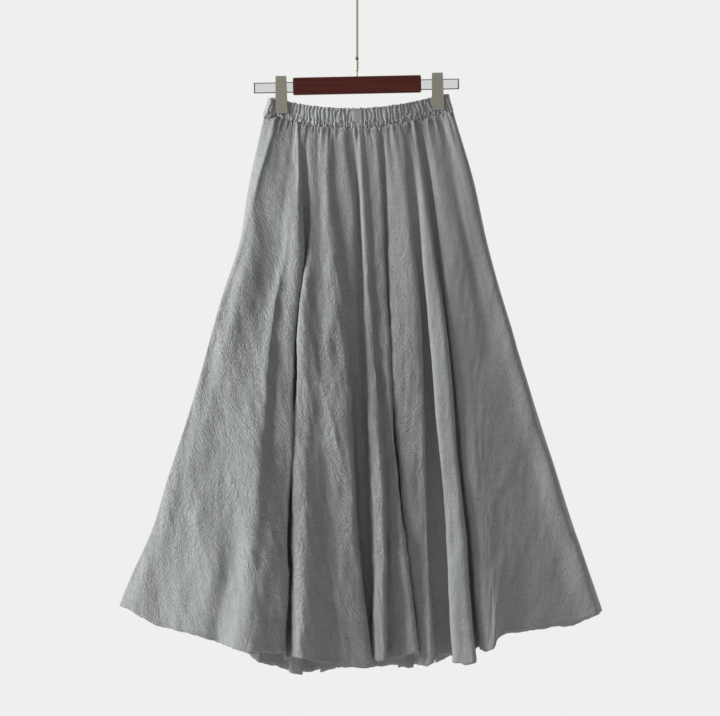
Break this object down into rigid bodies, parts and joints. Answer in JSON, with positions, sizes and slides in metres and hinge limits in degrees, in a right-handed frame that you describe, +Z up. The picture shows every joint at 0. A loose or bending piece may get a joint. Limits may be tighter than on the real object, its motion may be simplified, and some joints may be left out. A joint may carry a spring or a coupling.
{
  "type": "maxi skirt on a clip hanger",
  "caption": "Long flared skirt with a gathered elastic waistband, hanging in soft folds from a clip hanger with a straight wooden bar and a wire hook.",
  "frame": {"origin": "underside of the hook's top bend, where a wardrobe rail carries the hanger", "axes": "+Z up, -Y out of the skirt's front, +X to the right of a viewer who faces the front"},
  "size_m": [0.8212, 0.1526, 1.221],
  "materials": {
    "cloth": "matte crinkled plain weave, mid grey",
    "bar_wood": "dark red-brown stain under satin varnish",
    "rail_steel": "polished",
    "clip_metal": "matte grey-brown",
    "slider_plastic": "matte dark",
    "pad_rubber": "matte dark",
    "hook_wire": "satin nickel",
    "dark_ring": "satin dark"
  },
  "bodies": {
    "root": {"front_panel": "cloth", "back_panel": "cloth", "waistband": "cloth", "hanger_bar": "bar_wood", "rail_left": "rail_steel", "rail_right": "rail_steel", "clip_left": "clip_metal", "clip_right": "clip_metal", "slider_left": "slider_plastic", "slider_right": "slider_plastic", "pad_left_front": "pad_rubber", "pad_left_back": "pad_rubber", "pad_right_front": "pad_rubber", "pad_right_back": "pad_rubber", "hook": "hook_wire", "ferrule": "hook_wire", "collar": "dark_ring"}
  },
  "joints": []
}
